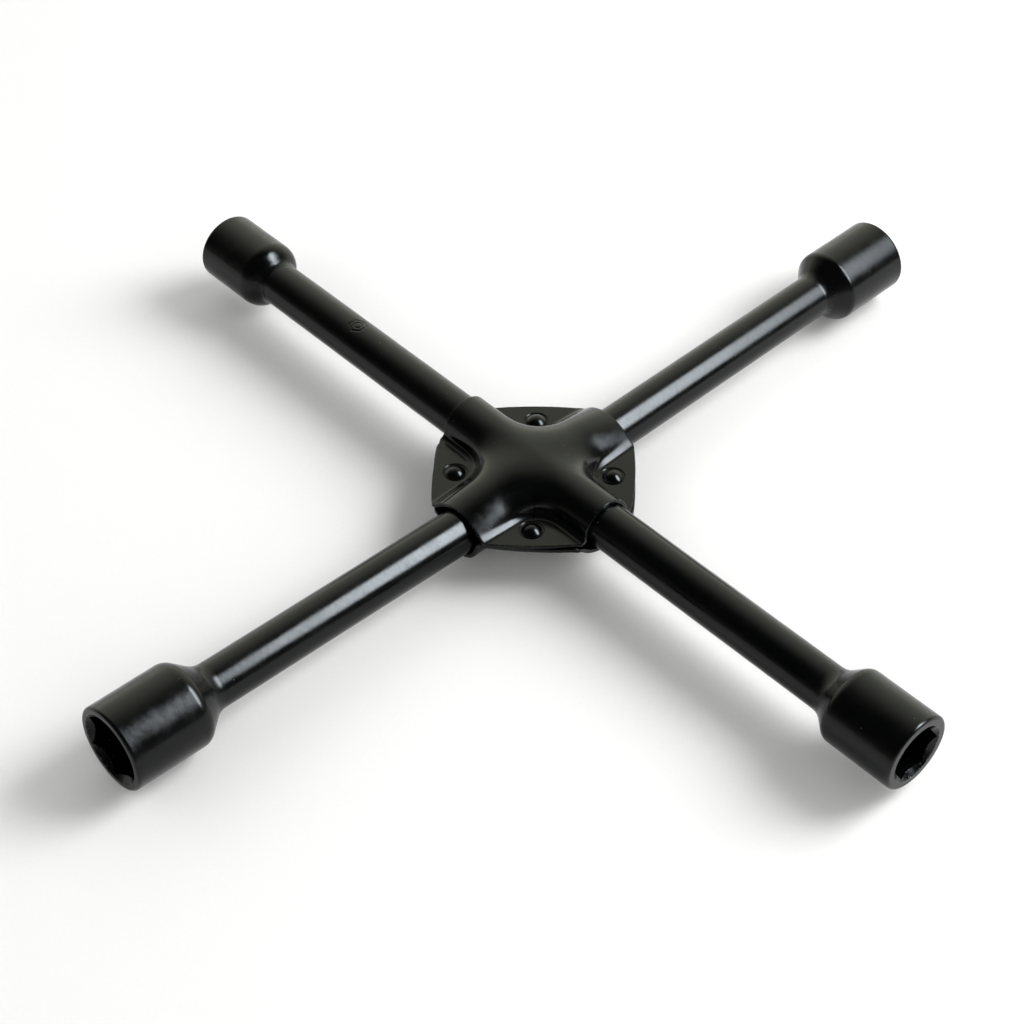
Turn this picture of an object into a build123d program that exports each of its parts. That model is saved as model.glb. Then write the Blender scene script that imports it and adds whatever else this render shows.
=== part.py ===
from build123d import *
import math
import os

# Four-way wheel wrench: two round steel bars lapped over each other at right angles, a hexagon socket
# welded on each of the four ends, and two pressed hub plates riveted together round the crossing.
# Millimetres. +X and -X run along the upper bar, +Y and -Y along the lower bar, and +Z is up.
# The origin is on the ground, under the middle of the crossing.

# Bars
bar_diameter = 18.0
upper_reach = 188.6  # hub centre to the mouth of a socket, along the upper bar
lower_reach = 198.0  # the same along the lower bar
crossing_drop = 6.2  # how far the lower bar's axis lies under the upper bar's, where they cross
arm_rise = 1.23  # degrees that each arm of the lower bar rises towards its socket
bar_bend_radius = 300.0  # of the lower bar's axis at the crossing
lap_clearance = 0.15  # between a bar's side and the end of the other bar's notch

# Turned spigot on each bar end, and the hole in the socket's neck that takes it
spigot_diameter = 12.0
spigot_length = 8.0
spigot_clearance = 0.05  # all round
spigot_end_gap = 0.4

# Sockets: nut size across flats, outer diameter, length from neck to mouth, depth of the hexagon,
# and the hexagon's turn from a corner pointing up
sockets = {
    "17": dict(nut=17.0, outer=28.3, length=33.5, hex_depth=17.0, turn=30.0),
    "19": dict(nut=19.0, outer=30.3, length=37.2, hex_depth=19.0, turn=30.0),
    "21": dict(nut=21.0, outer=30.4, length=38.5, hex_depth=20.0, turn=0.0),
    "23": dict(nut=23.0, outer=33.2, length=40.6, hex_depth=21.0, turn=0.0),
}
# Shoulders: angle between the flank and the socket's axis, radius where the flank runs into the
# cylinder, and radius of the hollow weld between the bar and the flank
shoulders = {
    "17": dict(slope=52.0, knee_round=8.0, weld_radius=3.5),
    "19": dict(slope=40.0, knee_round=4.5, weld_radius=8.5),
    "21": dict(slope=40.0, knee_round=3.5, weld_radius=6.0),
    "23": dict(slope=40.0, knee_round=6.0, weld_radius=8.5),
}
hex_clearance = 0.3  # added to the nut size across flats
mouth_round = 1.2  # radius on the mouth's outer edge
lead_in = 0.4  # how far the countersink at the mouth reaches past the hexagon's corners
pilot_depth = 2.5  # round relief below the hexagon
pilot_step = 0.6  # how much smaller in radius the relief is than the hexagon's flats

# Hub plates
sheet = 1.6
bar_clearance = 0.25  # between a bar and the plate over it
hub_reach = 39.3  # hub centre to the cut ends of the plates
channel_flare = 3.6  # how much wider than the bar the cross channel is, on each side
sleeve_shoulder = 1.9  # flat beside the sleeve at the plate's cut end
channel_shoulder = 0.3  # flat beside the cross channel at its cut end
flange_corner_round = 1.5
saddle_drop = 1.0  # how far the cross channel's top lies under the sleeve's, at the middle

# Rivets
rivet_standoff = 12.2  # rivet axis to the side of a bar
rivet_edge = 8.6  # rivet axis to the flange's edge, measured along the diagonal
shank_diameter = 5.0
shank_clearance = 0.05  # all round
head_diameter = 8.2
head_height = 2.3
tail_diameter = 7.6
tail_height = 1.5
seat_margin = 0.6  # how far the coined seat reaches past the head
seat_depth = 0.3

# Weld beads in the corners of the crossing
bead_radius = 2.0
bead_length = 10.0

# Worked out from the sizes above
bar_radius = bar_diameter / 2
seam_height = -crossing_drop / 2  # the lap's flat and the plates' joint, from the upper bar's axis
rivet_offset = bar_radius + rivet_standoff
rise = math.radians(arm_rise)


def on_arm(direction, lift, distance, drop):
    """Place on an arm: local Z runs out along it and local X points up."""
    along = Vector(direction) * math.cos(lift) + Vector(0, 0, 1) * math.sin(lift)
    upward = Vector(0, 0, 1) * math.cos(lift) - Vector(direction) * math.sin(lift)
    start = Vector(0, 0, -drop) + along * distance
    return Plane(origin=start, x_dir=upward, z_dir=along).location


def hex_radius(nut):
    """Distance from the hexagon's middle to its flats."""
    return (nut + hex_clearance) / 2


def make_socket(size, shoulder):
    """Forged socket along +Z: neck face at zero, mouth at its length."""
    outer = size["outer"] / 2
    length = size["length"]
    slope = math.radians(shoulder["slope"])
    climb = outer - bar_radius
    knee = climb / math.tan(slope)
    outline = Polyline((0, 0), (bar_radius, 0), (outer, knee), (outer, length), (0, length), close=True)
    profile = make_face(outline)
    widest_round = 0.95 * climb / (1 - math.cos(slope))
    knee_corner = profile.vertices().sort_by_distance((outer, knee, 0))[0]
    profile = fillet(knee_corner, min(shoulder["knee_round"], widest_round))
    mouth_corner = profile.vertices().sort_by_distance((outer, length, 0))[0]
    profile = fillet(mouth_corner, mouth_round)
    body = revolve(Plane.XZ * profile, Axis.Z)

    flats = hex_radius(size["nut"])
    corners = flats / math.cos(math.radians(30))
    hexagon = RegularPolygon(flats, 6, major_radius=False, rotation=size["turn"])
    hex_floor = length - size["hex_depth"]
    body -= Pos(0, 0, hex_floor) * extrude(hexagon, size["hex_depth"])
    body -= Pos(0, 0, hex_floor) * cylinder_up(flats - pilot_step, -pilot_depth)
    wide = corners + lead_in
    countersink = Cone(flats, wide, wide - flats, align=(Align.CENTER, Align.CENTER, Align.MAX))
    body -= Pos(0, 0, length) * countersink
    body -= cylinder_up(spigot_diameter / 2 + spigot_clearance, spigot_length + spigot_end_gap)
    return body


def cylinder_up(radius, height):
    """Cylinder from zero to height, which may be negative."""
    return extrude(Circle(radius), height)


def make_neck_weld(size, shoulder):
    """Ring of weld metal in the corner between the bar and the socket's flank, with a hollow face."""
    slope = math.radians(shoulder["slope"])
    climb = size["outer"] / 2 - bar_radius
    straight_flank = climb / math.sin(slope) - shoulder["knee_round"] * math.tan(slope / 2)
    foot = min(shoulder["weld_radius"] * math.tan(slope / 2), 0.95 * straight_flank)
    on_bar = (bar_radius, -foot)
    corner = (bar_radius, 0)
    on_flank = (bar_radius + foot * math.sin(slope), foot * math.cos(slope))
    hollow = RadiusArc(on_flank, on_bar, foot / math.tan(slope / 2))
    section = make_face([Line(on_bar, corner), Line(corner, on_flank), hollow])
    return revolve(Plane.XZ * section, Axis.Z)


def make_bar(ends, bent, drop):
    """Round bar between two placed arm ends, with a spigot turned on each."""
    first, last = ends
    if bent:
        axis = FilletPolyline(first.position, (0, 0, -drop), last.position, radius=bar_bend_radius)
    else:
        axis = Line(first.position, last.position)
    bar = sweep(first * Circle(bar_radius), path=axis)
    for end in ends:
        bar += end * cylinder_up(spigot_diameter / 2, spigot_length)
    return bar


def lap_notch(across, side):
    """Block that a bar loses at the crossing: side is +1 above the seam and -1 below it."""
    width = bar_diameter + 2 * lap_clearance
    sizes = (width, 2 * bar_diameter, bar_diameter) if across else (2 * bar_diameter, width, bar_diameter)
    return Pos(0, 0, seam_height + side * bar_diameter / 2) * Box(*sizes)


def arch_section(half_width, crown, y):
    """Face at y with a round top: half_width wide at the seam and as high as crown at its middle."""
    arch = ThreePointArc((-half_width, 0), (0, crown), (half_width, 0))
    return Plane(origin=(0, y, 0), x_dir=(1, 0, 0), z_dir=(0, -1, 0)) * make_face([arch, Line(arch @ 1, arch @ 0)])


def pressing(gap):
    """Solid under the plate's skin at a given gap from the bars: a sleeve along X and a channel along Y."""
    sleeve_radius = bar_radius + bar_clearance + gap
    own_axis = -seam_height
    length = 2 * hub_reach
    sleeve = Pos(0, 0, own_axis) * Rot(0, 90, 0) * Cylinder(sleeve_radius, length)
    sleeve += Pos(0, 0, own_axis / 2) * Box(length, 2 * sleeve_radius, own_axis)
    sleeve &= Pos(0, 0, bar_diameter) * Box(length, 4 * bar_diameter, 2 * bar_diameter)
    end_crown = bar_radius + seam_height + hub_reach * math.tan(rise) + bar_clearance + gap
    middle_crown = own_axis + sleeve_radius - saddle_drop
    half_width = bar_radius + channel_flare + gap
    sections = [
        arch_section(half_width, end_crown, -hub_reach),
        arch_section(half_width, middle_crown, 0),
        arch_section(half_width, end_crown, hub_reach),
    ]
    return sleeve + loft(sections)


def flange_outline():
    """Rounded square with cut ends across the bars and slightly bowed sides between them."""
    sleeve_end = bar_radius + bar_clearance + sheet + sleeve_shoulder
    channel_end = bar_radius + channel_flare + sheet + channel_shoulder
    bow = rivet_offset + rivet_edge * math.sqrt(0.5)
    lines = []
    for side in (-1, 1):
        lines.append(Line((side * hub_reach, -sleeve_end), (side * hub_reach, sleeve_end)))
        lines.append(Line((-channel_end, side * hub_reach), (channel_end, side * hub_reach)))
        for flip in (-1, 1):
            ends = (side * hub_reach, flip * sleeve_end), (side * channel_end, flip * hub_reach)
            lines.append(ThreePointArc(ends[0], (side * bow, flip * bow), ends[1]))
    face = make_face(lines)
    return fillet(face.vertices(), flange_corner_round)


def make_plate():
    """Pressed hub plate, seam face at zero, sleeve along X hugging its own bar."""
    plate = extrude(flange_outline(), sheet) + pressing(sheet) - pressing(0)
    for x in (-rivet_offset, rivet_offset):
        for y in (-rivet_offset, rivet_offset):
            plate -= Pos(x, y, 0) * cylinder_up(shank_diameter / 2 + shank_clearance, sheet)
            plate -= Pos(x, y, sheet) * cylinder_up(head_diameter / 2 + seat_margin, -seat_depth)
    return plate


def dome(diameter, height):
    """Round cap standing on zero."""
    radius = ((diameter / 2) ** 2 + height**2) / (2 * height)
    ball = Pos(0, 0, height - radius) * Sphere(radius)
    return ball & Pos(0, 0, height) * Box(2 * diameter, 2 * diameter, 2 * height)


def make_rivet():
    """Rivet through both flanges, seam at zero: domed head above, lower formed tail below."""
    grip = sheet - seat_depth
    shank = Pos(0, 0, -grip) * cylinder_up(shank_diameter / 2, 2 * grip)
    head = Pos(0, 0, grip) * dome(head_diameter, head_height)
    tail = Pos(0, 0, -grip) * Rot(180, 0, 0) * dome(tail_diameter, tail_height)
    return shank + head + tail


parts = {}

# Arms: which socket, direction from the hub, rise, drop of the axis and reach
arms = [
    ("17", (-1, 0, 0), 0.0, 0.0, upper_reach),
    ("19", (1, 0, 0), 0.0, 0.0, upper_reach),
    ("21", (0, 1, 0), rise, crossing_drop, lower_reach),
    ("23", (0, -1, 0), rise, crossing_drop, lower_reach),
]
arm_ends = []
for name, direction, lift, drop, reach in arms:
    size = sockets[name]
    bar_end = reach - size["length"]
    place = on_arm(direction, lift, bar_end, drop)
    parts["socket_" + name] = place * make_socket(size, shoulders[name])
    parts["neck_weld_" + name] = place * make_neck_weld(size, shoulders[name])
    arm_ends.append(place)

parts["upper_bar"] = make_bar(arm_ends[:2], False, 0) - lap_notch(across=True, side=-1)
parts["lower_bar"] = make_bar(arm_ends[2:], True, crossing_drop) - lap_notch(across=False, side=1)

plate = make_plate()
parts["top_plate"] = Pos(0, 0, seam_height) * plate
parts["bottom_plate"] = Pos(0, 0, seam_height) * Rot(180, 0, 0) * Rot(0, 0, 90) * plate

rivet = Pos(0, 0, seam_height) * make_rivet()
corners = [(1, 1), (-1, 1), (-1, -1), (1, -1)]
for number, (x, y) in enumerate(corners, start=1):
    parts[f"rivet_{number}"] = Pos(x * rivet_offset, y * rivet_offset, 0) * rivet

# A bead lies on each side of the upper bar, in the corner above the lower bar.
for number, side in enumerate((-1, 1), start=1):
    bead_place = Pos(0, side * (bar_radius + lap_clearance), bar_radius - crossing_drop)
    bead = bead_place * Rot(0, 90, 0) * Cylinder(bead_radius, bead_length)
    parts[f"crossing_weld_{number}"] = bead - parts["upper_bar"] - parts["lower_bar"]

lowest = min(part.bounding_box().min.Z for part in parts.values())
os.makedirs("parts", exist_ok=True)
for name, part in parts.items():
    export_step(Pos(0, 0, -lowest) * part, f"parts/{name}.step")
print(f"upper bar axis is {-lowest:.3f} mm above the ground")
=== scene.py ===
import bmesh
import bpy
import math
import numpy as np
from mathutils import Matrix, Vector, noise


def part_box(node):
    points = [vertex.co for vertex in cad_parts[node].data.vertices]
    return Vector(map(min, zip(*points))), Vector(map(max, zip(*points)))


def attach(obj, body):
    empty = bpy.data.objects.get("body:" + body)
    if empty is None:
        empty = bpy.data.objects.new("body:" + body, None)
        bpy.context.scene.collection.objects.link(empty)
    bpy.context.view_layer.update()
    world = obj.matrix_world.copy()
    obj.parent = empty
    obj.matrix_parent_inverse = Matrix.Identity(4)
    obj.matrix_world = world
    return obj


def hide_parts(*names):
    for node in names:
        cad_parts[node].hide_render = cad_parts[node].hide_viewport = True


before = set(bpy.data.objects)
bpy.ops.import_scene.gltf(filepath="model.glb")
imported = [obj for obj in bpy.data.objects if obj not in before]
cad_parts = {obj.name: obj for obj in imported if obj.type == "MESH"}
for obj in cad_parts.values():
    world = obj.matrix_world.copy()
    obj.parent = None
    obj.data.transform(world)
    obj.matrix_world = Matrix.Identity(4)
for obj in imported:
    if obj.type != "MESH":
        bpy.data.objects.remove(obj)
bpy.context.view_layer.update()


# ---- The table top ---------------------------------------------------------------------------------
# A sheet of matt white laminate that the wrench lies on, far wider than the view. It is perfectly
# plain, so that the shadows and the black enamel are all there is to see on it.

MM = 0.001  # metres in a millimetre


def node(tree, kind, inputs=(), **settings):
    """Adds one node with its settings. Inputs pair a socket's name or number with a value or a link.

    A Map Range has its From Min, From Max, To Min and To Max in sockets 1 to 4, and a colour Mix has its
    two colours in sockets 6 and 7.
    """
    made = tree.nodes.new(kind)
    for name, value in settings.items():
        setattr(made, name, value)
    for socket, value in dict(inputs).items():
        if isinstance(value, bpy.types.Node):
            value = value.outputs[0]
        if isinstance(value, bpy.types.NodeSocket):
            tree.links.new(value, made.inputs[socket])
        else:
            made.inputs[socket].default_value = value
    return made


def paint(code):
    """A colour given as sRGB hex, turned to the linear values that a shader takes."""
    parts = [int(code[i : i + 2], 16) / 255 for i in (1, 3, 5)]
    return [p / 12.92 if p < 0.04045 else ((p + 0.055) / 1.055) ** 2.4 for p in parts] + [1.0]


def put(name, mesh, material):
    """Shows a mesh under its name, smooth shaded and made of one material."""
    thing = bpy.data.objects.new(name, mesh)
    bpy.context.scene.collection.objects.link(thing)
    mesh.polygons.foreach_set("use_smooth", [True] * len(mesh.polygons))
    mesh.materials.append(material)
    return thing


def white_laminate():
    """Matt white laminate: a faintly warm white, very slightly mottled, with hardly any sheen."""
    material = bpy.data.materials.new("white_laminate")
    material.use_nodes = True
    tree = material.node_tree
    shader = tree.nodes["Principled BSDF"]
    place = node(tree, "ShaderNodeTexCoord").outputs["Object"]
    mottle = node(tree, "ShaderNodeTexNoise", {"Vector": place, "Scale": 1 / (1.5 * MM), "Detail": 2.0})
    whites = {0: mottle, 6: paint("#e9e9e8"), 7: paint("#ececeb")}
    tone = node(tree, "ShaderNodeMix", whites, data_type="RGBA")
    tree.links.new(tone.outputs[2], shader.inputs["Base Color"])
    shader.inputs["Roughness"].default_value = 0.75
    shader.inputs["Specular IOR Level"].default_value = 0.2
    return material


table_half = 3.0
table_mesh = bpy.data.meshes.new("table_top")
corners = [(-table_half, -table_half, 0), (table_half, -table_half, 0)]
corners += [(table_half, table_half, 0), (-table_half, table_half, 0)]
table_mesh.from_pydata(corners, [], [(0, 1, 2, 3)])
table = put("table_top", table_mesh, white_laminate())


# ---- The view and the light ------------------------------------------------------------------------
# A short telephoto looks down at the crossing from 45 degrees. Two large soft boxes stand on the right,
# one that the enamel mirrors and one that lights the table. A room, pale at the far side, fills the rest.

upper_low, upper_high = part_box("upper_bar")
crossing = Vector((0, 0, (upper_low.z + upper_high.z) / 2))

view_azimuth = math.radians(47.07)
view_elevation = math.radians(44.78)
view_distance = 0.8739
slide_right = -0.00837
slide_up = -0.01548
towards_camera = Vector((math.sin(view_azimuth), -math.cos(view_azimuth), 0)) * math.cos(view_elevation)
towards_camera.z = math.sin(view_elevation)
view_right = Vector((math.cos(view_azimuth), math.sin(view_azimuth), 0))
view_up = towards_camera.cross(view_right)

lens = bpy.data.cameras.new("view")
lens.sensor_width = 36.0
lens.lens = 80.75
lens.clip_start = 0.01
camera = bpy.data.objects.new("view", lens)
stand = crossing + towards_camera * view_distance + view_right * slide_right + view_up * slide_up
turned = Matrix((view_right, view_up, towards_camera)).transposed().to_4x4()
camera.matrix_world = Matrix.Translation(stand) @ turned
bpy.context.scene.collection.objects.link(camera)
bpy.context.scene.camera = camera

box_distance = 1.6


def soft_box(name, towards, across, power, tint, fade, hot=0.0, spread=10.0):
    """Oval soft box facing the crossing, hottest in a band beside its middle and fading to its rim.

    Fade, hot and spread are given in widths of the box: how far from the middle it begins to fade, where
    the hot band lies and how wide it is. A spread of many widths leaves the box even.
    """
    lamp = bpy.data.lights.new(name, "AREA")
    lamp.shape = "ELLIPSE"
    lamp.size, lamp.size_y = across
    lamp.energy = power
    lamp.color = paint(tint)[:3]
    lamp.use_nodes = True
    tree = lamp.node_tree
    glow = tree.nodes["Emission"]
    spot = node(tree, "ShaderNodeNewGeometry").outputs["Parametric"]
    off = node(tree, "ShaderNodeVectorMath", {0: spot, 1: (0.5, 0.5, 0)}, operation="SUBTRACT")
    far = node(tree, "ShaderNodeVectorMath", {0: off}, operation="LENGTH").outputs["Value"]
    fading = {0: far, 1: fade, 2: 0.5, 3: 1.0, 4: 0.0}
    whole = node(tree, "ShaderNodeMapRange", fading, interpolation_type="SMOOTHSTEP")
    beside = node(tree, "ShaderNodeSeparateXYZ", {0: off}).outputs["X"]
    from_band = node(tree, "ShaderNodeMath", {0: beside, 1: hot}, operation="SUBTRACT")
    square = node(tree, "ShaderNodeMath", {0: from_band, 1: from_band}, operation="MULTIPLY")
    fall = node(tree, "ShaderNodeMath", {0: square, 1: -0.5 / spread**2}, operation="MULTIPLY")
    bell = node(tree, "ShaderNodeMath", {0: math.e, 1: fall}, operation="POWER")
    dim = node(tree, "ShaderNodeMath", {0: bell, 1: whole}, operation="MULTIPLY")
    tree.links.new(dim.outputs[0], glow.inputs["Strength"])
    towards = Vector(towards).normalized()
    level = (Vector((0, 1, 0)) - towards * towards.y).normalized()
    stand = bpy.data.objects.new(name, lamp)
    turned = Matrix((level, towards.cross(level), towards)).transposed().to_4x4()
    stand.matrix_world = Matrix.Translation(crossing + towards * box_distance) @ turned
    bpy.context.scene.collection.objects.link(stand)
    return stand


# One box is what the enamel mirrors, the other is the key that the table gets its shadows from
mirrored_box = soft_box(
    "mirrored_box", towards=(0.50, 0.55, 0.67), across=(1.35, 1.9), power=150.0, tint="#f1f9ff",
    fade=0.26, hot=-0.11, spread=0.19,
)
mirrored_box.visible_diffuse = False
table_key = soft_box(
    "table_key", towards=(0.37, 0.74, 0.60), across=(1.45, 1.45), power=56.0, tint="#ffffff", fade=0.2,
)
table_key.visible_glossy = False

# The room: pale wall on the far side of the table, dark on the camera's side, a faint rim at table height.
# The table itself is lit from low all round, so that its shadows stay light and clear of the bars.
room = bpy.data.worlds.new("room")
room.use_nodes = True
bpy.context.scene.world = room
air = room.node_tree
backdrop = air.nodes["Background"]
gaze = node(air, "ShaderNodeTexCoord").outputs["Generated"]
away = (-math.sin(view_azimuth), math.cos(view_azimuth), 0)
facing = node(air, "ShaderNodeVectorMath", {0: gaze, 1: away}, operation="DOT_PRODUCT").outputs["Value"]
wall_span = {0: facing, 1: 0.05, 2: 0.85, 3: 0.03, 4: 1.55}
wall = node(air, "ShaderNodeMapRange", wall_span, interpolation_type="SMOOTHSTEP")
height = node(air, "ShaderNodeSeparateXYZ", {0: gaze}).outputs["Z"]
rim_span = {0: height, 1: 0.0, 2: 0.35, 3: 0.26, 4: 0.0}
rim = node(air, "ShaderNodeMapRange", rim_span, interpolation_type="SMOOTHSTEP")
glow = node(air, "ShaderNodeMath", {0: wall, 1: rim}, operation="ADD")
fill_span = {0: height, 1: 0.55, 2: 0.9, 3: 1.32, 4: 0.1}
low_fill = node(air, "ShaderNodeMapRange", fill_span, interpolation_type="SMOOTHSTEP")
path = node(air, "ShaderNodeLightPath")
room_light = node(air, "ShaderNodeMix", {0: path.outputs["Is Diffuse Ray"], 2: glow, 3: low_fill})
strength = node(air, "ShaderNodeMix", {0: path.outputs["Is Camera Ray"], 2: room_light, 3: 0.92})
air.links.new(strength.outputs[0], backdrop.inputs["Strength"])
tints = {0: path.outputs["Is Glossy Ray"], 6: paint("#ffffff"), 7: paint("#fcffee")}
hue = node(air, "ShaderNodeMix", tints, data_type="RGBA")
air.links.new(hue.outputs[2], backdrop.inputs["Color"])
bpy.context.scene.view_settings.view_transform = "Standard"
bpy.context.scene.view_settings.gamma = 0.87


# ---- The two bars ----------------------------------------------------------------------------------
# Drawn round steel, 18 mm, each lapped half away where they cross so that they lie in one another.
# The ends are turned down to spigots that go into the sockets. Sprayed black after welding.

bar_radius = 9.0
crossing_drop = 6.2
arm_rise = math.radians(1.23)
bend_radius = 300.0
lap_reach = 9.15
spigot_radius = 6.0
spigot_length = 8.0
spigot_chamfer = 0.5
seam = crossing.z / MM - crossing_drop / 2
bar_sides = 192
ring_spacing = 2.5
bar_wave = 0.025  # how far the bar is out of round
wave_length = 16.0
mark_place = -103.0
mark_reach = 4.4
mark_spacing = 0.22
mark_flat = 3.1
mark_hole = 1.55
mark_stroke = 0.42
mark_depth = 0.22


def black_enamel(name, colour, rough, peel, lay, dust, chips):
    """Sprayed black enamel over steel: a nearly black, faintly blue gloss coat with an orange-peel skin.

    Peel is the skin's height and lay the stretch of the metal's own grain under it along X, Y and Z,
    both in mm. Dust sets how many pale specks lie on it and chips how far bare steel shows on edges.
    """
    material = bpy.data.materials.new(name)
    material.use_nodes = True
    tree = material.node_tree
    shader = tree.nodes["Principled BSDF"]
    place = node(tree, "ShaderNodeTexCoord").outputs["Object"]
    rubbed, dust_grey, steel = paint("#090a09"), paint("#55554f"), paint("#6f7072")
    grain_height, speck_height, chip_depth = 0.004, 0.03, 0.04

    # Orange peel: soft dimples 2 mm apart, with a finer ripple on them
    peeled = {"Vector": place, "Scale": 1 / (2.2 * MM), "Detail": 2.5, "Roughness": 0.45}
    skin = node(tree, "ShaderNodeTexNoise", peeled)
    # The metal's own grain: rolling or pressing lines, drawn about three times as coarse as they are
    stretch = node(tree, "ShaderNodeMapping", {"Vector": place, "Scale": [1 / (side * MM) for side in lay]})
    drawn_out = {"Vector": stretch, "Scale": 1.0, "Detail": 4.0, "Roughness": 0.6}
    grain = node(tree, "ShaderNodeTexNoise", drawn_out)
    # Handling: cloudy patches about 12 mm wide where the gloss is rubbed or greasy
    handled = {"Vector": place, "Scale": 1 / (12 * MM), "Detail": 4.0, "Roughness": 0.6}
    cloud = node(tree, "ShaderNodeTexNoise", handled)

    # Dust specks 0.2 to 0.5 mm wide, in about one cell of ten
    cells = node(tree, "ShaderNodeTexVoronoi", {"Vector": place, "Scale": 1 / (2.4 * MM)})
    near = node(tree, "ShaderNodeMapRange", {0: cells.outputs["Distance"], 1: 0.04, 2: 0.1, 3: 1.0, 4: 0.0})
    pick = node(tree, "ShaderNodeSeparateColor", {0: cells.outputs["Color"]})
    lucky = node(tree, "ShaderNodeMath", {0: pick, 1: 1 - dust}, operation="GREATER_THAN")
    speck = node(tree, "ShaderNodeMath", {0: near, 1: lucky}, operation="MULTIPLY")

    # Bare steel where the enamel is knocked off an edge: worn edges broken up by a 0.8 mm noise
    edge = node(tree, "ShaderNodeAttribute", attribute_name="wear").outputs["Fac"]
    ragged = {"Vector": place, "Scale": 1 / (0.8 * MM), "Detail": 5.0, "Roughness": 0.65}
    nick = node(tree, "ShaderNodeTexNoise", ragged)
    bite = node(tree, "ShaderNodeMath", {0: edge, 1: nick}, operation="MULTIPLY")
    bare = node(tree, "ShaderNodeMapRange", {0: bite, 1: 0.62 - chips, 2: 0.7 - chips, 3: 0.0, 4: 1.0})

    tone = node(tree, "ShaderNodeMix", {0: cloud, 6: paint(colour), 7: rubbed}, data_type="RGBA")
    dusty = node(tree, "ShaderNodeMix", {0: speck, 6: tone.outputs[2], 7: dust_grey}, data_type="RGBA")
    coat = node(tree, "ShaderNodeMix", {0: bare, 6: dusty.outputs[2], 7: steel}, data_type="RGBA")
    tree.links.new(coat.outputs[2], shader.inputs["Base Color"])

    soft = node(tree, "ShaderNodeMapRange", {0: cloud, 1: 0.3, 2: 0.72, 3: rough[0], 4: rough[1]})
    scuff = node(tree, "ShaderNodeMapRange", {0: grain, 1: 0.45, 2: 0.75, 3: 0.0, 4: 0.09})
    sheen = node(tree, "ShaderNodeMath", {0: soft, 1: scuff}, operation="ADD")
    dull = node(tree, "ShaderNodeMath", {0: speck, 1: 0.35, 2: sheen}, operation="MULTIPLY_ADD")
    worn = node(tree, "ShaderNodeMix", {0: bare, 2: dull, 3: 0.38})
    tree.links.new(worn.outputs[0], shader.inputs["Roughness"])
    tree.links.new(bare.outputs[0], shader.inputs["Metallic"])
    shader.inputs["IOR"].default_value = 1.4

    low = node(tree, "ShaderNodeBump", {"Distance": peel * MM, "Height": skin})
    fine = node(tree, "ShaderNodeBump", {"Distance": grain_height * MM, "Height": grain, "Normal": low})
    grit = node(tree, "ShaderNodeBump", {"Distance": speck_height * MM, "Height": speck, "Normal": fine})
    worn_in = {"Distance": chip_depth * MM, "Height": bare, "Normal": grit}
    chip = node(tree, "ShaderNodeBump", worn_in, invert=True)
    tree.links.new(chip.outputs[0], shader.inputs["Normal"])
    return material


def struck_mark(along, around):
    """How deep, in mm, the die mark is at a place: a plain nut sign, a hexagon with a round hole in it."""
    turn = (math.atan2(around, along) + math.pi / 6) % (math.pi / 3) - math.pi / 6
    far = math.hypot(along, around)
    to_hexagon = abs(far * math.cos(turn) - mark_flat)
    to_hole = abs(far - mark_hole)
    return mark_depth * max(0.0, 1 - (min(to_hexagon, to_hole) / mark_stroke) ** 2)


def bar_mesh(name, centre_line, across, seam_side, ends, mark_at=None):
    """Round bar as rings along its centre line, cut back to the seam where it crosses the other bar."""
    stations = list(np.arange(-ends[0], ends[1], ring_spacing)) + [ends[1]]
    # The lap ends between two rings that lie a hair apart
    hair = 0.001
    stations = [s for s in stations if abs(abs(s) - lap_reach) > 0.5]
    stations += [-lap_reach - hair, -lap_reach + hair, lap_reach - hair, lap_reach + hair]
    if mark_at is not None:
        stations = [s for s in stations if abs(s - mark_at) > mark_reach + 0.2]
        stations += list(np.arange(mark_at - mark_reach, mark_at + mark_reach + 0.1, mark_spacing))
    rings = [(s, bar_radius) for s in sorted(stations)]
    tip = spigot_length - spigot_chamfer
    narrow, middle = spigot_radius - spigot_chamfer, 0.01
    head = [(-ends[0] - spigot_length, middle), (-ends[0] - spigot_length, narrow)]
    head += [(-ends[0] - tip, spigot_radius), (-ends[0], spigot_radius)]
    tail = [(ends[1], spigot_radius), (ends[1] + tip, spigot_radius)]
    tail += [(ends[1] + spigot_length, narrow), (ends[1] + spigot_length, middle)]
    points = []
    for s, radius in head + rings + tail:
        centre, upward = centre_line(s)
        for k in range(bar_sides):
            angle = 2 * math.pi * k / bar_sides
            way = across * math.sin(angle) + upward * math.cos(angle)
            reach = radius
            if radius == bar_radius:
                reach += bar_wave * noise.noise((centre + way * radius) / wave_length) - bar_wave
            if mark_at is not None and abs(s - mark_at) < mark_reach and math.cos(angle) > 0.7:
                wrapped = (angle + math.pi) % (2 * math.pi) - math.pi
                reach -= struck_mark(s - mark_at, wrapped * bar_radius)
            point = centre + way * reach
            if abs(s) < lap_reach:
                point.z = max(point.z, seam) if seam_side > 0 else min(point.z, seam)
            points.append(point * MM)
    rows = len(points) // bar_sides
    faces = []
    for i in range(rows - 1):
        for k in range(bar_sides):
            after = (k + 1) % bar_sides
            low, high = i * bar_sides, (i + 1) * bar_sides
            faces.append((low + k, high + k, high + after, low + after))
    faces.append(tuple(range(bar_sides)))
    faces.append(tuple((rows - 1) * bar_sides + k for k in reversed(range(bar_sides))))
    mesh = bpy.data.meshes.new(name)
    mesh.from_pydata(points, [], faces)
    shaped = bmesh.new()
    shaped.from_mesh(mesh)
    bmesh.ops.remove_doubles(shaped, verts=shaped.verts, dist=1e-7)
    bmesh.ops.recalc_face_normals(shaped, faces=shaped.faces)
    shaped.to_mesh(mesh)
    shaped.free()
    return mesh


def upper_line(s):
    """Centre and upward direction of the upper bar at a distance from the crossing, in mm."""
    return Vector((s, 0, crossing.z / MM)), Vector((0, 0, 1))


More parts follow.
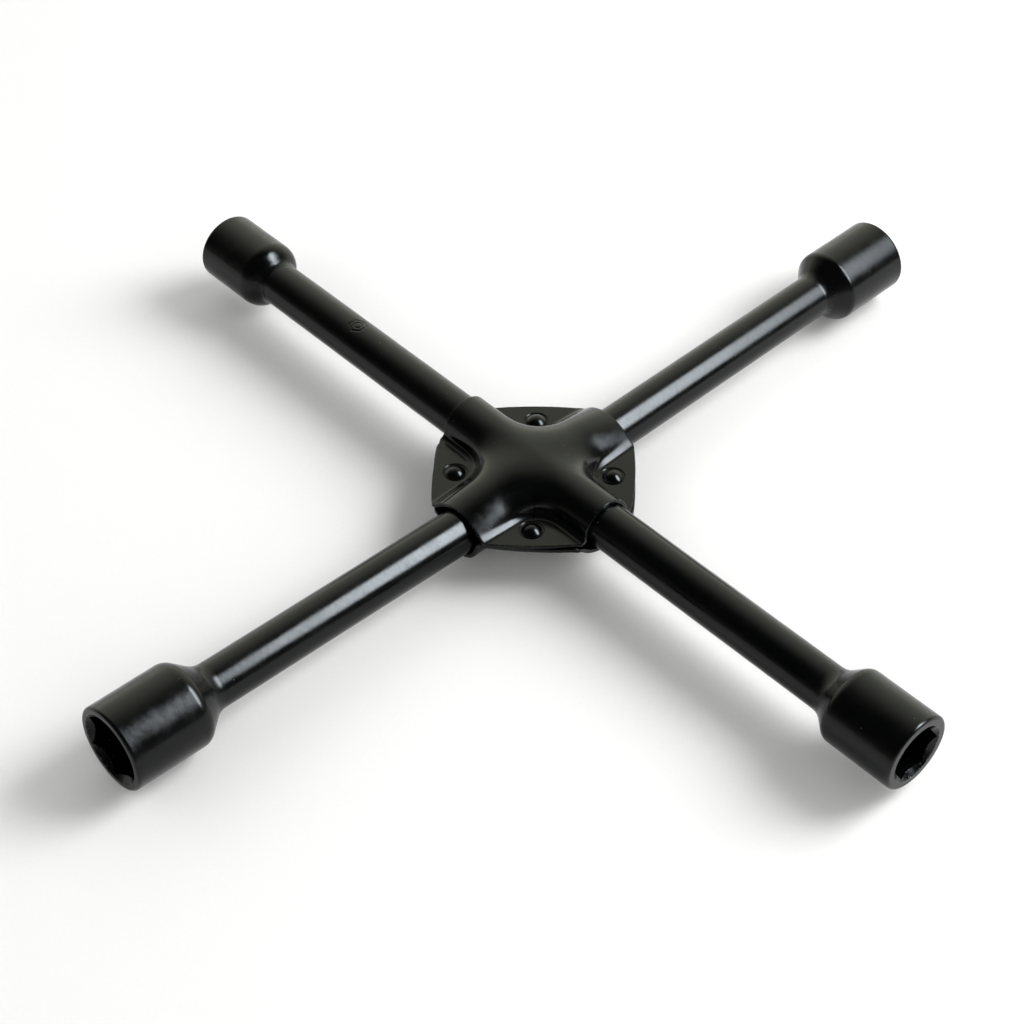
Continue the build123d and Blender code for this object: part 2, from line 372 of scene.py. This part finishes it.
def lower_line(s):
    """The same for the lower bar, whose two arms rise from a gentle bend under the crossing."""
    level = crossing.z / MM - crossing_drop
    bend = bend_radius * math.tan(arm_rise)
    if abs(s) > bend:
        tilt = math.copysign(arm_rise, s)
        centre = Vector((0, s * math.cos(arm_rise), level + abs(s) * math.sin(arm_rise)))
    else:
        tilt = s / bend_radius
        lift = bend * math.tan(arm_rise) / 2 + s * s / (2 * bend_radius)
        centre = Vector((0, s, level + lift))
    return centre, Vector((0, -math.sin(tilt), math.cos(tilt)))


bar_ends = {"upper_bar": (155.1, 151.4), "lower_bar": (157.4, 159.5)}
bar_enamel = black_enamel(
    "sprayed_black_enamel_on_drawn_bar", "#020405",
    rough=(0.12, 0.22), peel=0.018, lay=(14, 0.9, 0.9), dust=0.1, chips=0.0,
)
bar_meshes = {
    "upper_bar": bar_mesh("upper", upper_line, Vector((0, 1, 0)), 1, bar_ends["upper_bar"], mark_place),
    "lower_bar": bar_mesh("lower", lower_line, Vector((1, 0, 0)), -1, bar_ends["lower_bar"]),
}
for name, mesh in bar_meshes.items():
    bar = put(name + "_enamelled", mesh, bar_enamel)
    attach(bar, "root")
    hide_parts(name)


# ---- The welds in the crossing ---------------------------------------------------------------------
# Two short arc-welded beads that lock the lapped bars, one on each side of the upper bar. They are bare
# weld metal, since the hub plates close over them before the wrench is sprayed.

def weld_steel():
    """Bare arc weld: grey steel with straw and blue heat tints, and the ripple of the cooling bead."""
    material = bpy.data.materials.new("bare_arc_weld_steel")
    material.use_nodes = True
    tree = material.node_tree
    shader = tree.nodes["Principled BSDF"]
    place = node(tree, "ShaderNodeTexCoord").outputs["Object"]
    tint = node(tree, "ShaderNodeTexNoise", {"Vector": place, "Scale": 1 / (3 * MM), "Detail": 3.0})
    ramp = node(tree, "ShaderNodeValToRGB", {0: tint})
    ramp.color_ramp.elements[0].color = paint("#4b5468")
    ramp.color_ramp.elements[1].color = paint("#8c8273")
    ramp.color_ramp.elements[0].position = 0.35
    ramp.color_ramp.elements[1].position = 0.65
    tree.links.new(ramp.outputs[0], shader.inputs["Base Color"])
    ripple = node(tree, "ShaderNodeTexWave", {"Vector": place, "Scale": 1 / (6.4 * MM), "Distortion": 2.0})
    rough = node(tree, "ShaderNodeMapRange", {0: tint, 3: 0.32, 4: 0.55})
    tree.links.new(rough.outputs[0], shader.inputs["Roughness"])
    bump = node(tree, "ShaderNodeBump", {"Distance": 0.1 * MM, "Height": ripple})
    tree.links.new(bump.outputs[0], shader.inputs["Normal"])
    shader.inputs["Metallic"].default_value = 1.0
    return material


bead_steel = weld_steel()
for name in ("crossing_weld_1", "crossing_weld_2"):
    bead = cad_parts[name]
    bead.data.materials.clear()
    bead.data.materials.append(bead_steel)


# ---- The four sockets ------------------------------------------------------------------------------
# Steel forgings with a sloping shoulder and a hexagon broached into the mouth, countersunk so that it
# finds the nut. One node tree turns each half section round its axis and presses the hexagon into it.

def turning_tree():
    """Turns the points of a half section (radius in X, distance along in Z) into a closed round piece."""
    tree = bpy.data.node_groups.new("turned_piece", "GeometryNodeTree")
    face = tree.interface
    face.new_socket("Section", in_out="INPUT", socket_type="NodeSocketGeometry")
    face.new_socket("Sides", in_out="INPUT", socket_type="NodeSocketInt")
    face.new_socket("Hexagon turn", in_out="INPUT", socket_type="NodeSocketFloat")
    face.new_socket("Forging wave", in_out="INPUT", socket_type="NodeSocketFloat")
    face.new_socket("Piece", in_out="OUTPUT", socket_type="NodeSocketGeometry")
    given = node(tree, "NodeGroupInput")
    section, sides, turn, wave = given.outputs[0:4]

    # The piece is a grid with a row for each point of the section and a column for each side
    rows = node(tree, "GeometryNodeAttributeDomainSize", {0: section}).outputs["Point Count"]
    columns = node(tree, "ShaderNodeMath", {0: sides, 1: 1.0}, operation="ADD")
    grid = node(tree, "GeometryNodeMeshGrid", {"Vertices X": columns, "Vertices Y": rows})
    index = node(tree, "GeometryNodeInputIndex")
    row = node(tree, "ShaderNodeMath", {0: index, 1: rows}, operation="MODULO")
    passed = node(tree, "ShaderNodeMath", {0: index, 1: rows}, operation="DIVIDE")
    column = node(tree, "ShaderNodeMath", {0: passed}, operation="FLOOR")
    share = node(tree, "ShaderNodeMath", {0: column, 1: sides}, operation="DIVIDE")
    angle = node(tree, "ShaderNodeMath", {0: share, 1: 2 * math.pi}, operation="MULTIPLY")

    # What each row takes from its point: the radius, the place along the axis and three attributes
    at_row = {"Geometry": section, "Value": node(tree, "GeometryNodeInputPosition"), "Index": row}
    outline = node(tree, "GeometryNodeSampleIndex", at_row, data_type="FLOAT_VECTOR")
    parts = node(tree, "ShaderNodeSeparateXYZ", {0: outline})
    radius, along = parts.outputs["X"], parts.outputs["Z"]
    carried = []
    for attribute in ("hexagon", "slant", "wear"):
        at_row["Value"] = node(tree, "GeometryNodeInputNamedAttribute", {0: attribute})
        carried.append(node(tree, "GeometryNodeSampleIndex", at_row, data_type="FLOAT"))
    hexagon, slant, worn = carried

    # A point of the hexagon lies further out than its flat by one over the cosine of the angle to it
    sixth = math.pi / 3
    from_start = node(tree, "ShaderNodeMath", {0: angle, 1: turn}, operation="SUBTRACT")
    from_corner = node(tree, "ShaderNodeMath", {0: from_start, 1: sixth}, operation="FLOORED_MODULO")
    from_flat = node(tree, "ShaderNodeMath", {0: from_corner, 1: sixth / 2}, operation="SUBTRACT")
    shrink = node(tree, "ShaderNodeMath", {0: from_flat}, operation="COSINE")
    stretch = node(tree, "ShaderNodeMath", {0: 1.0, 1: shrink}, operation="DIVIDE")
    beyond = node(tree, "ShaderNodeMath", {0: stretch, 1: 1.0}, operation="SUBTRACT")
    further = node(tree, "ShaderNodeMath", {0: radius, 1: beyond}, operation="MULTIPLY")
    wide = node(tree, "ShaderNodeMath", {0: hexagon, 1: further, 2: radius}, operation="MULTIPLY_ADD")
    deep = node(tree, "ShaderNodeMath", {0: slant, 1: further, 2: along}, operation="MULTIPLY_ADD")
    cosine = node(tree, "ShaderNodeMath", {0: angle}, operation="COSINE")
    sine = node(tree, "ShaderNodeMath", {0: angle}, operation="SINE")
    upward = node(tree, "ShaderNodeMath", {0: wide, 1: cosine}, operation="MULTIPLY")
    sideways = node(tree, "ShaderNodeMath", {0: wide, 1: sine}, operation="MULTIPLY")
    round_place = node(tree, "ShaderNodeCombineXYZ", {0: upward, 1: sideways, 2: deep})

    # The skin of a forging is never quite round: a slow wave, only on what isn't broached
    lumps = node(tree, "ShaderNodeTexNoise", {"Vector": round_place, "Scale": 1 / (14 * MM), "Detail": 1.0})
    hollow = node(tree, "ShaderNodeMath", {0: lumps, 1: 1.0}, operation="SUBTRACT")
    as_forged = node(tree, "ShaderNodeMath", {0: 1.0, 1: hexagon}, operation="SUBTRACT")
    most = node(tree, "ShaderNodeMath", {0: wave, 1: as_forged}, operation="MULTIPLY")
    swell = node(tree, "ShaderNodeMath", {0: hollow, 1: most}, operation="MULTIPLY")
    outward = node(tree, "ShaderNodeVectorMath", {0: round_place, 1: (1, 1, 0)}, operation="MULTIPLY")
    outward = node(tree, "ShaderNodeVectorMath", {0: outward}, operation="NORMALIZE")
    raised = {0: outward, 1: swell, 2: round_place}
    swelled = node(tree, "ShaderNodeVectorMath", raised, operation="MULTIPLY_ADD")
    shaped = node(tree, "GeometryNodeSetPosition", {"Geometry": grid, "Position": swelled})
    marked = {"Geometry": shaped, "Name": "wear", "Value": worn}
    shaped = node(tree, "GeometryNodeStoreNamedAttribute", marked)
    joined = node(tree, "GeometryNodeMergeByDistance", {"Geometry": shaped, "Distance": 0.002 * MM})
    bent = node(tree, "GeometryNodeInputMeshEdgeAngle").outputs["Unsigned Angle"]
    crease_angle = math.radians(34)
    sharp = node(tree, "FunctionNodeCompare", {0: bent, 1: crease_angle}, operation="GREATER_THAN")
    creased = node(tree, "GeometryNodeSetShadeSmooth", {0: joined, 1: sharp, 2: False}, domain="EDGE")
    node(tree, "NodeGroupOutput", {0: creased})
    return tree


def section_mesh(name, rings):
    """Half section as loose points. A ring is (radius, along, hexagon, slant, wear), sizes in mm."""
    mesh = bpy.data.meshes.new(name)
    mesh.from_pydata([(r[0] * MM, 0, r[1] * MM) for r in rings], [], [])
    for column, attribute in ((2, "hexagon"), (3, "slant"), (4, "wear")):
        values = [r[column] for r in rings]
        mesh.attributes.new(attribute, "FLOAT", "POINT").data.foreach_set("value", values)
    return mesh


def arc(centre, radius, start, end, steps):
    """Points on an arc of a half section. Angles in degrees, from outward (0) to along the axis (90)."""
    turns = [math.radians(start + (end - start) * i / steps) for i in range(steps + 1)]
    return [(centre[0] + radius * math.cos(t), centre[1] + radius * math.sin(t)) for t in turns]


hex_clearance = 0.3
mouth_round = 1.2
lead_in = 0.4
pilot_depth = 2.5
pilot_step = 0.6
blind_hole = (6.05, 8.4)
axis_gap = 0.001
lip_round = 0.12
socket_sides = 120
sockets = {
    "17": dict(nut=17.0, outer=28.3, length=33.5, hex_depth=17.0, turn=30.0),
    "19": dict(nut=19.0, outer=30.3, length=37.2, hex_depth=19.0, turn=30.0),
    "21": dict(nut=21.0, outer=30.4, length=38.5, hex_depth=20.0, turn=0.0),
    "23": dict(nut=23.0, outer=33.2, length=40.6, hex_depth=21.0, turn=0.0),
}
shoulders = {
    "17": dict(slope=52.0, knee_round=8.0, weld_radius=3.5),
    "19": dict(slope=40.0, knee_round=4.5, weld_radius=8.5),
    "21": dict(slope=40.0, knee_round=3.5, weld_radius=6.0),
    "23": dict(slope=40.0, knee_round=6.0, weld_radius=8.5),
}


def seat_on(line, distance):
    """Where a socket's neck face sits: its middle, the way its axis runs and which way is up."""
    centre, upward = line(distance)
    across = Vector((0, 1, 0)) if line is upper_line else Vector((1, 0, 0))
    along = across.cross(upward) if (line is upper_line) == (distance > 0) else upward.cross(across)
    return centre, along, upward


socket_seat = {
    "17": seat_on(upper_line, -bar_ends["upper_bar"][0]),
    "19": seat_on(upper_line, bar_ends["upper_bar"][1]),
    "21": seat_on(lower_line, bar_ends["lower_bar"][1]),
    "23": seat_on(lower_line, -bar_ends["lower_bar"][0]),
}


def socket_section(size, shoulder):
    """Rings of a socket from the bottom of its spigot hole, over the outside, to the bottom of its bore."""
    outer, length = size["outer"] / 2, size["length"]
    flats = (size["nut"] + hex_clearance) / 2
    wide = flats / math.cos(math.pi / 6) + lead_in
    slope = math.radians(shoulder["slope"])
    bend = shoulder["knee_round"]
    knee = (outer - bar_radius) / math.tan(slope) + bend * math.tan(slope / 2)
    plain = [(axis_gap, blind_hole[1]), blind_hole, (blind_hole[0], 0.0), (bar_radius, 0.0)]
    plain += arc((outer - bend, knee), bend, -shoulder["slope"], 0, 18)
    straight = length - mouth_round - knee
    plain += [(outer, knee + straight * i / 12) for i in range(1, 12)]
    rings = [(r, a, 0, 0, 0) for r, a in plain]
    brow = arc((outer - mouth_round, length - mouth_round), mouth_round, 0, 80, 8)
    rings += [(r, a, 0, 0, 0.55) for r, a in brow]
    rings += [(outer - mouth_round - 0.1, length, 0, 0, 0.4), (wide + 0.3, length, 0, 0, 0.2)]
    lip = arc((wide + lip_round, length - lip_round), lip_round, 90, 135, 3)
    rings += [(r, a, 0, 0, 0.95) for r, a in lip]
    sunk = length - wide + flats
    rings += [(flats + 0.2, sunk + 0.2, 1, 1, 0.5), (flats, sunk, 1, 1, 1.0), (flats, sunk - 0.3, 1, 1, 0.3)]
    bottom = length - size["hex_depth"]
    rings += [(flats, bottom + 0.02, 1, 0, 0), (flats, bottom, 1, 0, 0)]
    rings += [(flats - pilot_step, bottom, 0, 0, 0), (flats - pilot_step, bottom - pilot_depth, 0, 0, 0)]
    rings += [(axis_gap, bottom - pilot_depth, 0, 0, 0)]
    return rings


def placed_piece(name, tree, section, values, seat):
    """Runs a node tree on a section, keeps the result as a plain mesh and stands it on its seat."""
    section.materials.append(values["Finish"])
    maker = bpy.data.objects.new(name + "_section", section)
    bpy.context.scene.collection.objects.link(maker)
    made_by = maker.modifiers.new("made", "NODES")
    made_by.node_group = tree
    for item in tree.interface.items_tree:
        if item.in_out == "INPUT" and item.name in values:
            made_by[item.identifier] = values[item.name]
    evaluated = maker.evaluated_get(bpy.context.evaluated_depsgraph_get())
    mesh = bpy.data.meshes.new_from_object(evaluated)
    mesh.name = name
    maker.modifiers.remove(made_by)
    bpy.data.objects.remove(maker)
    foot, along, upward = seat
    turned = Matrix((upward, along.cross(upward), along)).transposed().to_4x4()
    mesh.transform(Matrix.Translation(foot * MM) @ turned)
    piece = bpy.data.objects.new(name, mesh)
    bpy.context.scene.collection.objects.link(piece)
    return piece


def piece_tree(name, turned, repeat=None):
    """Tree of a whole piece: the turned shape, repeated where the piece is a set, and its finish."""
    tree = bpy.data.node_groups.new(name, "GeometryNodeTree")
    face = tree.interface
    face.new_socket("Section", in_out="INPUT", socket_type="NodeSocketGeometry")
    face.new_socket("Sides", in_out="INPUT", socket_type="NodeSocketInt")
    face.new_socket("Hexagon turn", in_out="INPUT", socket_type="NodeSocketFloat")
    face.new_socket("Forging wave", in_out="INPUT", socket_type="NodeSocketFloat")
    face.new_socket("Finish", in_out="INPUT", socket_type="NodeSocketMaterial")
    if repeat:
        face.new_socket("Spacing", in_out="INPUT", socket_type="NodeSocketFloat")
    face.new_socket("Piece", in_out="OUTPUT", socket_type="NodeSocketGeometry")
    given = node(tree, "NodeGroupInput")
    shape = node(tree, "GeometryNodeGroup", node_tree=turned)
    for number in range(4):
        tree.links.new(given.outputs[number], shape.inputs[number])
    shape = shape.outputs[0]
    if repeat:
        shape = repeat(tree, shape, given.outputs["Spacing"])
    real = node(tree, "GeometryNodeRealizeInstances", {0: shape})
    finished = node(tree, "GeometryNodeSetMaterial", {"Geometry": real, "Material": given.outputs["Finish"]})
    node(tree, "NodeGroupOutput", {0: finished})
    return tree


turned_piece = turning_tree()
socket_tree = piece_tree("forged_socket", turned_piece)
socket_enamel = black_enamel(
    "sprayed_black_enamel_on_forging", "#020405",
    rough=(0.12, 0.24), peel=0.022, lay=(2.5, 2.5, 2.5), dust=0.1, chips=0.13,
)
for size_name, size in sockets.items():
    values = {
        "Sides": socket_sides,
        "Hexagon turn": math.radians(size["turn"]),
        "Forging wave": 0.09 * MM,
        "Finish": socket_enamel,
    }
    section = section_mesh("socket_section", socket_section(size, shoulders[size_name]))
    name = "socket_" + size_name
    socket = placed_piece(name + "_enamelled", socket_tree, section, values, socket_seat[size_name])
    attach(socket, "root")
    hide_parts(name)


# ---- The neck welds --------------------------------------------------------------------------------
# A ring of weld metal in the corner between each bar and its socket, dressed to a hollow curve. The
# enamel lies thicker and duller on it, over the faint ripple that the arc left.

weld_sides = 240
weld_sink = 0.3  # how far the bead's hidden inner side lies in the bar and the socket
weld_enamel = black_enamel(
    "sprayed_black_enamel_on_weld", "#030506",
    rough=(0.18, 0.28), peel=0.035, lay=(1.6, 1.6, 1.6), dust=0.1, chips=0.0,
)
weld_tree = piece_tree("neck_weld", turned_piece)
for size_name, size in sockets.items():
    slope = math.radians(shoulders[size_name]["slope"])
    neck_radius = shoulders[size_name]["weld_radius"]
    foot = neck_radius * math.tan(slope / 2)
    middle = (bar_radius + neck_radius, -foot)
    hollow = arc(middle, neck_radius, 180, 180 - shoulders[size_name]["slope"], 14)
    outline = [(bar_radius - 0.05, -foot - 0.1)] + hollow
    outline += [(hollow[-1][0] - weld_sink, hollow[-1][1] + 0.1), (bar_radius - weld_sink, weld_sink)]
    outline += [outline[0]]
    section = section_mesh("neck_section", [(r, a, 0, 0, 0) for r, a in outline])
    values = {"Sides": weld_sides, "Hexagon turn": 0.0, "Forging wave": 0.05 * MM, "Finish": weld_enamel}
    name = "neck_weld_" + size_name
    weld = placed_piece(name + "_enamelled", weld_tree, section, values, socket_seat[size_name])
    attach(weld, "root")
    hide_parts(name)


# ---- The hub plates --------------------------------------------------------------------------------
# Two identical pressings of 1.6 mm steel sheet, a tight sleeve one way and a flared channel the other,
# closed over the crossing from above and below. The lower one is turned over and by a quarter.

sheet = 1.6
cut_round = 0.3
plate_half = 39.3
bar_gap = 0.25
hub_reach = plate_half - cut_round
sleeve_axis = crossing_drop / 2
sleeve_radius = bar_radius + bar_gap + sheet
sleeve_edge = 12.65
channel_half = bar_radius + 3.6 + sheet
channel_edge = 14.4
channel_middle = sleeve_axis + sleeve_radius - 1.0
channel_end = bar_radius - sleeve_axis + plate_half * math.tan(arm_rise) + bar_gap + sheet
rivet_offset = bar_radius + 12.2
rivet_margin = 8.6
bow = rivet_offset + (rivet_margin - cut_round) * math.sqrt(0.5)
bend_round = 2.2
valley_foot = 11.0
valley_top = 21.0
ridge_blend = 2.0
seat_radius = 4.7
seat_rim = seat_radius + 0.4
seat_depth = 0.3
hole_radius = 2.55
rim_wear = [0.2, 0.7, 1, 1, 0.8, 0.8, 0.6, 0.4, 0.2, 0]


def skin_gap(x, y, z):
    """Signed distance, roughly, from the plate's outer skin: sleeve, channel and flange run together."""
    sleeve = np.hypot(y, np.maximum(z - sleeve_axis, 0)) - sleeve_radius
    crown = channel_middle + (channel_end - channel_middle) * (y / hub_reach) ** 2
    arch = (channel_half**2 + crown**2) / (2 * crown)
    channel = np.hypot(x, z - crown + arch) - arch
    # The sheet flows widely where sleeve and channel meet at an angle, and hardly where they run level
    height = np.clip(z / channel_middle, 0, 1)
    sleeve_level = np.maximum(z - sleeve_axis, 0) / (sleeve + sleeve_radius)
    channel_level = (z - crown + arch) / (channel + arch)
    apart = 1 - np.clip(sleeve_level * channel_level, 0, 1)
    blend = ridge_blend + apart * (valley_foot + (valley_top - valley_foot) * height - ridge_blend)
    meet = np.maximum(blend - np.abs(sleeve - channel), 0) / blend
    hub = np.minimum(sleeve, channel) - meet**2 * blend / 4
    flange = z - sheet
    inner = np.maximum(bend_round, np.minimum(hub, flange))
    return inner - np.hypot(np.maximum(bend_round - hub, 0), np.maximum(bend_round - flange, 0))


def skin_height(x, y):
    """Height of the outer skin over the seam, found by halving."""
    low, high = np.zeros_like(x), np.full_like(x, 25.0)
    for _ in range(40):
        middle = (low + high) / 2
        above = skin_gap(x, y, middle) > 0
        high = np.where(above, middle, high)
        low = np.where(above, low, middle)
    return (low + high) / 2


def skin_points(x, y):
    """Points of the outer skin and its outward normals there."""
    z = skin_height(x, y)
    step = 0.01
    slope = [
        skin_gap(x + step, y, z) - skin_gap(x - step, y, z),
        skin_gap(x, y + step, z) - skin_gap(x, y - step, z),
        skin_gap(x, y, z + step) - skin_gap(x, y, z - step),
    ]
    normal = np.stack(slope, -1)
    normal /= np.linalg.norm(normal, axis=-1, keepdims=True)
    return np.stack([x, y, z], -1), normal


class Sheet:
    """The plate's mesh as it grows, patch by patch."""

    def __init__(self):
        self.points = []
        self.faces = []
        self.wear = []

    def patch(self, grid, wear=0.0, closed=False):
        """Adds a grid of points, rows by columns, as quads."""
        first = len(self.points)
        rows, columns = grid.shape[:2]
        self.points += [tuple(p) for p in grid.reshape(-1, 3)]
        self.wear += list(np.broadcast_to(wear, (rows, columns)).reshape(-1))
        for i in range(rows - 1):
            for j in range(columns if closed else columns - 1):
                after = (j + 1) % columns
                low, high = first + i * columns, first + (i + 1) * columns
                self.faces.append((low + j, low + after, high + after, high + j))

    def skins(self, x, y):
        """Adds both faces of the sheet over a grid of places."""
        outer, normal = skin_points(x, y)
        self.patch(outer)
        self.patch(outer - normal * sheet)


def bowed_side(steps):
    """Places along the flange's bowed side, from the sleeve's cut end to the channel's."""
    start = np.array([hub_reach, sleeve_edge])
    end = np.array([channel_edge, hub_reach])
    chord = end - start
    outward = np.array([chord[1], -chord[0]]) / np.linalg.norm(chord)
    rise = np.dot(np.array([bow, bow]) - (start + end) / 2, outward)
    share = np.linspace(0, 1, steps + 1)[:, None]
    return start + chord * share + outward * 4 * rise * share * (1 - share)


def wear_on(mesh, values):
    """Writes how exposed each point of a mesh is, from 0 to 1, for the enamel to read."""
    mesh.attributes.new("wear", "FLOAT", "POINT").data.foreach_set("value", np.asarray(values, float))


def plate_mesh(name, place):
    """One pressed hub plate, built in its own frame with the seam at zero and then placed."""
    # Lines across the sleeve and the channel lie closest where their sides are steepest
    turns = np.radians(np.linspace(-86, 86, 45))
    sleeve_foot = np.array([11.0, 11.3, 11.65, 12.0, sleeve_edge])
    channel_foot = np.array([13.75, 13.95, channel_edge])
    across_sleeve = np.sort(np.concatenate([sleeve_radius * np.sin(turns), sleeve_foot, -sleeve_foot]))
    across_channel = np.sort(np.concatenate([13.6 * np.sin(turns), channel_foot, -channel_foot]))
    steps = 40
    out_x = np.linspace(channel_edge, hub_reach, steps + 1)
    out_y = np.linspace(sleeve_edge, hub_reach, steps + 1)
    side = bowed_side(2 * steps)
    plate = Sheet()
    plate.skins(*np.meshgrid(across_channel, across_sleeve))
    for way in (1, -1):
        plate.skins(*np.meshgrid(way * out_x, across_sleeve))
        plate.skins(*np.meshgrid(across_channel, way * out_y))

    # Each flange corner is meshed in rings round its rivet hole
    inner_edge = np.concatenate([
        np.stack([out_x, np.full(steps + 1, sleeve_edge)], -1)[:-1],
        side[:-1],
        np.stack([np.full(steps + 1, channel_edge), out_y[::-1]], -1)[:-1],
    ])
    hub = np.array([rivet_offset, rivet_offset])
    spoke = inner_edge - hub
    spoke_length = np.linalg.norm(spoke, axis=1, keepdims=True)
    way_out = spoke / spoke_length
    seat = [(hole_radius, seat_depth), (seat_radius - 0.16, seat_depth)]
    seat += [(seat_radius - 0.08, 0.9 * seat_depth), (seat_radius, 0.55 * seat_depth)]
    seat += [(seat_radius + 0.07, 0.16 * seat_depth), (seat_radius + 0.18, 0), (seat_rim, 0)]
    for flip_x in (1, -1):
        for flip_y in (1, -1):
            flips = np.array([flip_x, flip_y])
            share = np.linspace(0, 1, 23)[:, None, None] ** 1.1
            rings = hub + way_out * (seat_rim * (1 - share) + spoke_length * share)
            plate.skins(rings[..., 0] * flip_x, rings[..., 1] * flip_y)
            coined = [[(*((hub + w * r) * flips), sheet - d) for w in way_out] for r, d in seat]
            edge_wear = np.array([0, 0, 0, 0.7, 0.4, 0, 0])[:, None]
            plate.patch(np.array(coined), edge_wear, closed=True)
            below = [[(*((hub + w * r) * flips), 0.0) for w in way_out] for r in (hole_radius, seat_rim)]
            plate.patch(np.array(below), closed=True)
            plate.patch(np.array([coined[0], below[0]]), closed=True)

    # The sheared edge all round, a little rounded over on both faces
    quarter = np.concatenate([
        np.stack([np.full(len(across_sleeve), hub_reach), across_sleeve], -1)[:-1],
        side[:-1],
        np.stack([across_channel[::-1], np.full(len(across_channel), hub_reach)], -1)[:-1],
        (side[::-1] * [-1, 1])[:-1],
    ])
    loop = np.concatenate([quarter, -quarter])
    ahead, behind = np.roll(loop, -1, 0) - loop, loop - np.roll(loop, 1, 0)
    ahead /= np.linalg.norm(ahead, axis=1, keepdims=True)
    behind /= np.linalg.norm(behind, axis=1, keepdims=True)
    run = ahead + behind
    run /= np.linalg.norm(run, axis=1, keepdims=True)
    outward = np.stack([run[:, 1], -run[:, 0], np.zeros(len(run))], -1)
    top, normal = skin_points(loop[:, 0], loop[:, 1])
    under = top - normal * sheet
    turns = np.radians(np.linspace(0, 90, 5))
    rim = [top + cut_round * (math.sin(t) * outward - (1 - math.cos(t)) * normal) for t in turns]
    rim += [under + cut_round * (math.sin(t) * outward + (1 - math.cos(t)) * normal) for t in turns[::-1]]
    plate.patch(np.array(rim), np.array(rim_wear)[:, None], closed=True)

    mesh = bpy.data.meshes.new(name)
    mesh.from_pydata([Vector(p) * MM for p in plate.points], [], plate.faces)
    wear_on(mesh, plate.wear)
    shaped = bmesh.new()
    shaped.from_mesh(mesh)
    bmesh.ops.remove_doubles(shaped, verts=shaped.verts, dist=1e-6)
    shaped.transform(place)
    bmesh.ops.recalc_face_normals(shaped, faces=shaped.faces)
    shaped.to_mesh(mesh)
    shaped.free()
    return mesh


seam_place = Matrix.Translation((0, 0, seam * MM))
quarter_turn = Matrix.Rotation(math.pi / 2, 4, "Z")
turned_over = Matrix.Rotation(math.pi, 4, "X")
plate_enamel = black_enamel(
    "sprayed_black_enamel_on_pressed_sheet", "#020405",
    rough=(0.11, 0.22), peel=0.02, lay=(5, 5, 1.5), dust=0.1, chips=0.08,
)
plate_places = {"top_plate": seam_place, "bottom_plate": seam_place @ turned_over @ quarter_turn}
for name, place in plate_places.items():
    plate = put(name + "_enamelled", plate_mesh(name, place), plate_enamel)
    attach(plate, "root")
    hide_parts(name)


# ---- The rivets ------------------------------------------------------------------------------------
# Four steel rivets through both flanges: a domed head above in its coined seat, a lower hammered tail
# below. Set before spraying, so the enamel runs over them and pools round their rims.

head_radius, head_height = 4.1, 2.3
tail_radius, tail_height = 3.8, 1.5
shank_radius = 2.5
rim_height, rim_break = 0.22, 0.08
grip = sheet - seat_depth
most_lean = 0.02


def at_four_corners(tree, rivet, spacing):
    """One rivet at each corner of a square, each turned and leaning a little differently."""
    grid = {"Size X": spacing, "Size Y": spacing, "Vertices X": 2, "Vertices Y": 2}
    corners = node(tree, "GeometryNodeMeshGrid", grid).outputs[0]
    spin = node(tree, "FunctionNodeRandomValue", {"Seed": 17}, data_type="FLOAT_VECTOR")
    spin.inputs[0].default_value = (-most_lean, -most_lean, 0)
    spin.inputs[1].default_value = (most_lean, most_lean, 2 * math.pi)
    placing = {"Points": corners, "Instance": rivet, "Rotation": spin}
    return node(tree, "GeometryNodeInstanceOnPoints", placing)


def cap(radius, height, side):
    """Half section of a rivet's dome with a small rounded rim, from its pole to the shank."""
    ball = (radius**2 + height**2) / (2 * height)
    edge = math.degrees(math.asin((ball - height) / ball))
    dome = arc((0, height - ball), ball, 90, edge + 3, 16)
    dome = [(max(r, axis_gap), a) for r, a in dome]
    dome += [(radius, rim_height), (radius, rim_break), (radius - rim_break, 0.0), (shank_radius + 0.02, 0.0)]
    wear = [0.1] * 12 + [0.3] * 9
    return [(r, side * (grip + a), 0, 0, w) for (r, a), w in zip(dome, wear)]


rivet_enamel = black_enamel(
    "sprayed_black_enamel_on_rivet", "#020405",
    rough=(0.11, 0.2), peel=0.012, lay=(1.5, 1.5, 1.5), dust=0.06, chips=0.08,
)
rivet_tree = piece_tree("rivet_set", turned_piece, at_four_corners)
rivet_section = cap(head_radius, head_height, 1) + cap(tail_radius, tail_height, -1)[::-1]
section = section_mesh("rivet_section", rivet_section)
values = {
    "Sides": 48,
    "Hexagon turn": 0.0,
    "Forging wave": 0.06 * MM,
    "Finish": rivet_enamel,
    "Spacing": 2 * rivet_offset * MM,
}
upright = (Vector((0, 0, seam)), Vector((0, 0, 1)), Vector((1, 0, 0)))
rivets = placed_piece("rivets_enamelled", rivet_tree, section, values, upright)
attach(rivets, "root")
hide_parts("rivet_1", "rivet_2", "rivet_3", "rivet_4")
